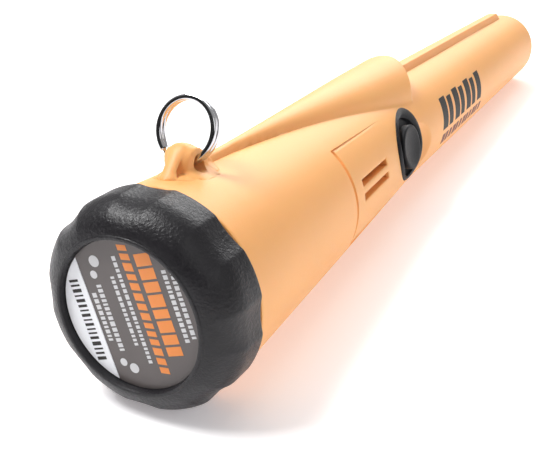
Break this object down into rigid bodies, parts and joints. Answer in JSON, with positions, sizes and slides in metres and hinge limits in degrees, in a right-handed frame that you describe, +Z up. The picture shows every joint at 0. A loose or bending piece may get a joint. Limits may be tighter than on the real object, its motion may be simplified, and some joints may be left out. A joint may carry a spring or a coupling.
{
  "type": "pinpointer probe",
  "caption": "Handheld metal-detecting pinpointer: tapered waterproof probe with lamp hood, speaker panel, push button, lanyard ring and scalloped screw-on battery cap.",
  "frame": {"origin": "centre of the probe's footprint box on the surface it lies on, lying on two lobes of its cap and its tip", "axes": "+X along the probe's length towards its tip, +Z up, button and speaker on the -Y side"},
  "size_m": [0.2296, 0.0374, 0.0484],
  "materials": {
    "orange_shell": "fine spark-eroded texture, satin",
    "black_plastic": "pebbled texture, satin",
    "black_rubber": "matt",
    "label_film": "printed polyester film",
    "white_paper": "paper label",
    "foam": "open-cell foam",
    "speaker_metal": "pressed can",
    "white_plastic": "moulded",
    "battery_wrap": "two-tone wrap, black and copper",
    "plated_steel": "nickel plated",
    "circuit_board": "solder mask",
    "chip_black": "epoxy",
    "capacitor_sleeve": "shrink sleeve",
    "tungsten_weight": "sintered",
    "clear_lens": "clear moulded lens",
    "ferrite": "sintered ferrite",
    "enamelled_wire": "enamelled copper, close wound",
    "lead_wire": "insulated lead",
    "ring_chrome": "polished"
  },
  "bodies": {
    "body": {"housing": "orange_shell", "speaker_cover": "orange_shell", "button_boot": "black_rubber", "led_lens": "clear_lens", "speaker_gasket": "foam", "speaker": "speaker_metal", "tactile_switch": "black_plastic", "battery": "battery_wrap", "battery_terminals": "plated_steel", "contact_board": "circuit_board", "contact_snaps": "plated_steel", "board_frame": "black_plastic", "main_board": "circuit_board", "processor": "chip_black", "capacitors": "capacitor_sleeve", "board_screws": "plated_steel", "vibration_motor": "plated_steel", "led": "clear_lens", "led_board": "circuit_board", "ferrite_rod": "ferrite", "coil_bobbin": "white_plastic", "transmit_winding": "enamelled_wire", "receive_winding_rear": "enamelled_wire", "receive_winding_front": "enamelled_wire", "coil_holder_rear": "foam", "coil_holder_front": "foam", "coil_leads": "lead_wire", "battery_leads": "lead_wire"},
    "cap_carriage": {"cap_oring": "black_rubber"},
    "cap": {"battery_cap": "black_plastic", "cap_label": "label_film", "serial_sticker": "white_paper", "cap_foam_pad": "foam"},
    "button": {"button": "black_rubber"},
    "plunger": {"switch_plunger": "white_plastic"},
    "weight": {"motor_weight": "tungsten_weight"},
    "ring": {"lanyard_ring": "ring_chrome"}
  },
  "joints": [
    {"name": "cap_travel", "type": "slide", "parent": "body", "child": "cap_carriage", "axis": [-0.9994, 0, 0.035], "range_m": [0, 0.00751]},
    {"name": "cap_turn", "type": "hinge", "parent": "cap_carriage", "child": "cap", "pos_m": [-0.10928, 0, 0.01887], "axis": [-0.9994, 0, 0.035], "range_deg": [0, 1080]},
    {"name": "button_press", "type": "slide", "parent": "body", "child": "button", "axis": [-0.0073, 0.9781, -0.2078], "range_m": [0, 0.001], "stiffness_N_per_m": 1500, "springref_m": -0.0003},
    {"name": "plunger_press", "type": "slide", "parent": "body", "child": "plunger", "axis": [-0.0073, 0.9781, -0.2078], "range_m": [0, 0.001]},
    {"name": "weight_spin", "type": "hinge", "parent": "body", "child": "weight", "pos_m": [-0.01687, 0.0047, 0.01464], "axis": [0.9994, 0, -0.035], "continuous": true},
    {"name": "ring_swing", "type": "hinge", "parent": "body", "child": "ring", "pos_m": [-0.09212, 0.00167, 0.03741], "axis": [-0.0031, 0.9962, -0.0871], "range_deg": [-95, 65]}
  ],
  "couplings": [
    {"joint": "cap_travel", "follows": "cap_turn", "m_per_rad": 0.00039789},
    {"joint": "plunger_press", "follows": "button_press", "ratio": 1}
  ]
}
